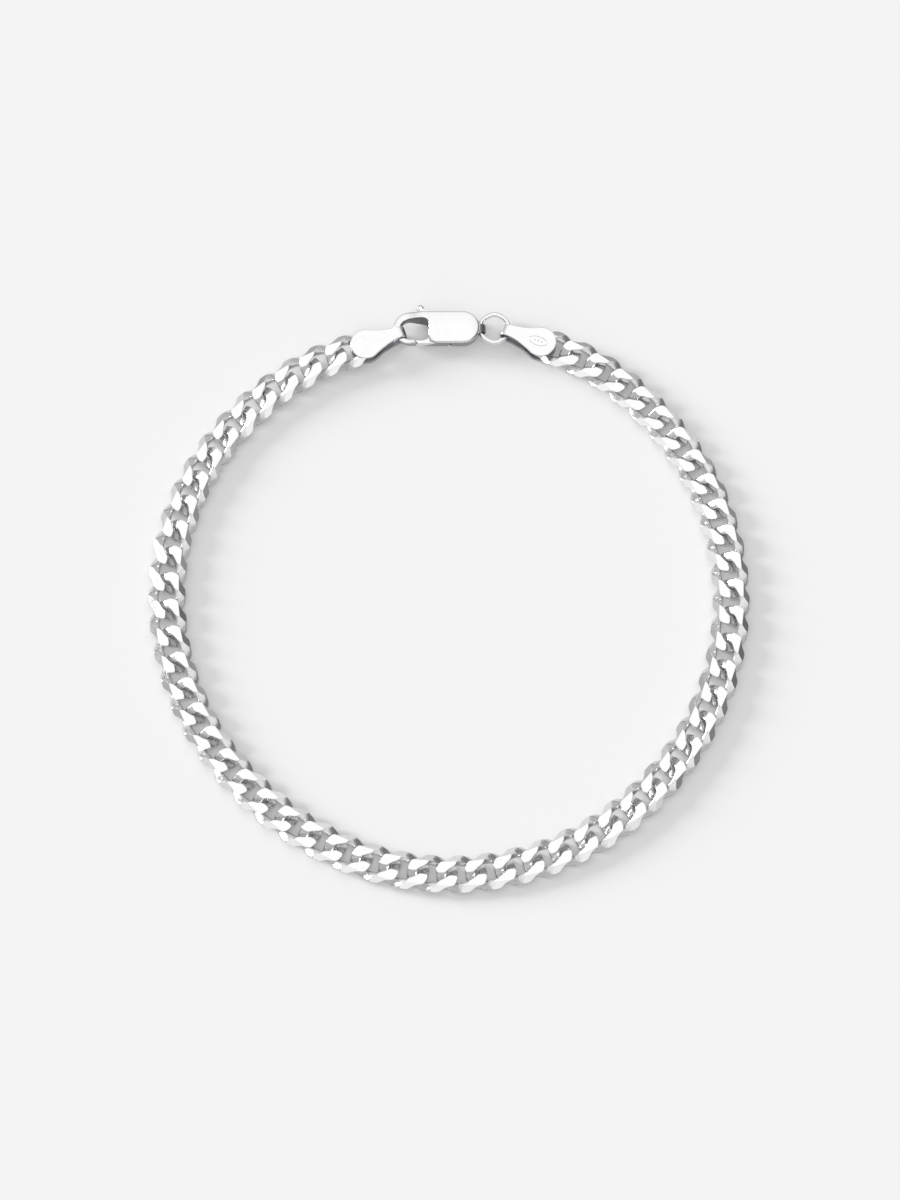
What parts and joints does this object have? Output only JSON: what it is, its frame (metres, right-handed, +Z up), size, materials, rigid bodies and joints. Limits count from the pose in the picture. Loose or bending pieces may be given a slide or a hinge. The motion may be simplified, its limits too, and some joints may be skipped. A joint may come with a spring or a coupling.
{
  "type": "link bracelet",
  "caption": "Flat diamond-cut curb link bracelet lying closed in a ring, with folded end tabs, a jump ring and a sprung trigger clasp.",
  "frame": {"origin": "on the table under the middle of the closed loop's outline", "axes": "+Z up from the table, +Y from the middle towards the clasp, +X along the clasp from its hook to its eye"},
  "size_m": [0.0661, 0.0678, 0.0023],
  "materials": {
    "silver": "polished silver with diamond-cut facets",
    "tab_silver": "polished silver strip",
    "clasp_silver": "polished cast silver"
  },
  "bodies": {
    "bracelet": {"chain_right": "silver", "chain_left": "silver", "end_tab_right": "tab_silver", "end_tab_left": "tab_silver", "clasp_body": "clasp_silver", "clasp_pin": "clasp_silver", "jump_ring": "silver"},
    "lever": {"clasp_lever": "clasp_silver"}
  },
  "joints": [
    {"name": "lever_hinge", "type": "hinge", "parent": "bracelet", "child": "lever", "pos_m": [-0.00033, 0.02992, 0.00115], "axis": [0, 0, -1], "range_deg": [0, 22], "stiffness_Nm_per_rad": 0.004, "springref_deg": -20.05}
  ]
}
